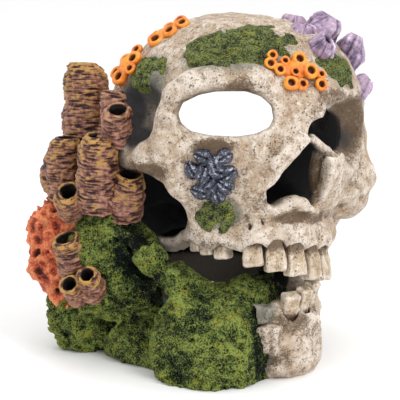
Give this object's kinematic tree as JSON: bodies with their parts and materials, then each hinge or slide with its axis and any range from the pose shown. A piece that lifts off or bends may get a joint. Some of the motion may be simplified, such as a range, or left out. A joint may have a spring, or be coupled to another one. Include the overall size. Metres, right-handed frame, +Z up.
{
  "type": "aquarium bubbling ornament",
  "caption": "Hollow skull on a mossy rock base with sponges, polyps and barnacles, swim-through openings and an air stone inside.",
  "frame": {"origin": "middle of the bounding box's underside, on the surface that the ornament stands on", "axes": "+Z up; the face looks along -Y; +X is the skull's own left"},
  "size_m": [0.1226, 0.113, 0.1344],
  "materials": {
    "bone_resin": "matt hand-painted bone colour, brown stains in the hollows, black inside",
    "tooth_resin": "satin ivory with brown between the teeth",
    "moss": "rough flocked green with yellow-green tips",
    "tube_sponge": "ridged purple-brown with ochre rims and dark mouths",
    "orange_sponge": "rough orange-red, full of pits",
    "polyp": "bright orange cups with dark brown mouths",
    "barnacle": "ribbed lilac with pale highlights",
    "mussel": "blue-black with pale rubbed streaks",
    "air_plastic": "moulded black",
    "grommet_rubber": "soft black",
    "air_hose": "smooth silicone",
    "air_stone": "gritty sintered mineral"
  },
  "bodies": {
    "root": {"air_inlet": "air_plastic", "air_stone": "air_stone", "barnacle_1": "barnacle", "barnacle_2": "barnacle", "barnacle_3": "barnacle", "barnacle_4": "barnacle", "barnacle_5": "barnacle", "barnacle_6": "barnacle", "brow_polyps": "polyp", "cheek_moss": "moss", "chin_block": "bone_resin", "crown_polyps": "polyp", "forehead_moss": "moss", "inlet_grommet": "grommet_rubber", "inner_hose": "air_hose", "left_brow_moss": "moss", "lower_jaw": "bone_resin", "lower_tooth_1": "tooth_resin", "lower_tooth_2": "tooth_resin", "lower_tooth_3": "tooth_resin", "lower_tooth_4": "tooth_resin", "moss_base": "moss", "mussel_cluster": "mussel", "orange_sponge": "orange_sponge", "sponge_bulb": "tube_sponge", "stone_nipple": "air_plastic", "temple_moss": "moss", "temple_polyps": "polyp", "tube_sponge_01": "tube_sponge", "tube_sponge_02": "tube_sponge", "tube_sponge_03": "tube_sponge", "tube_sponge_04": "tube_sponge", "tube_sponge_05": "tube_sponge", "tube_sponge_06": "tube_sponge", "tube_sponge_07": "tube_sponge", "tube_sponge_08": "tube_sponge", "tube_sponge_09": "tube_sponge", "tube_sponge_10": "tube_sponge", "upper_skull": "bone_resin", "upper_tooth_01": "tooth_resin", "upper_tooth_02": "tooth_resin", "upper_tooth_03": "tooth_resin", "upper_tooth_04": "tooth_resin", "upper_tooth_05": "tooth_resin", "upper_tooth_06": "tooth_resin", "upper_tooth_07": "tooth_resin", "upper_tooth_08": "tooth_resin", "upper_tooth_09": "tooth_resin", "upper_tooth_10": "tooth_resin"}
  },
  "joints": []
}
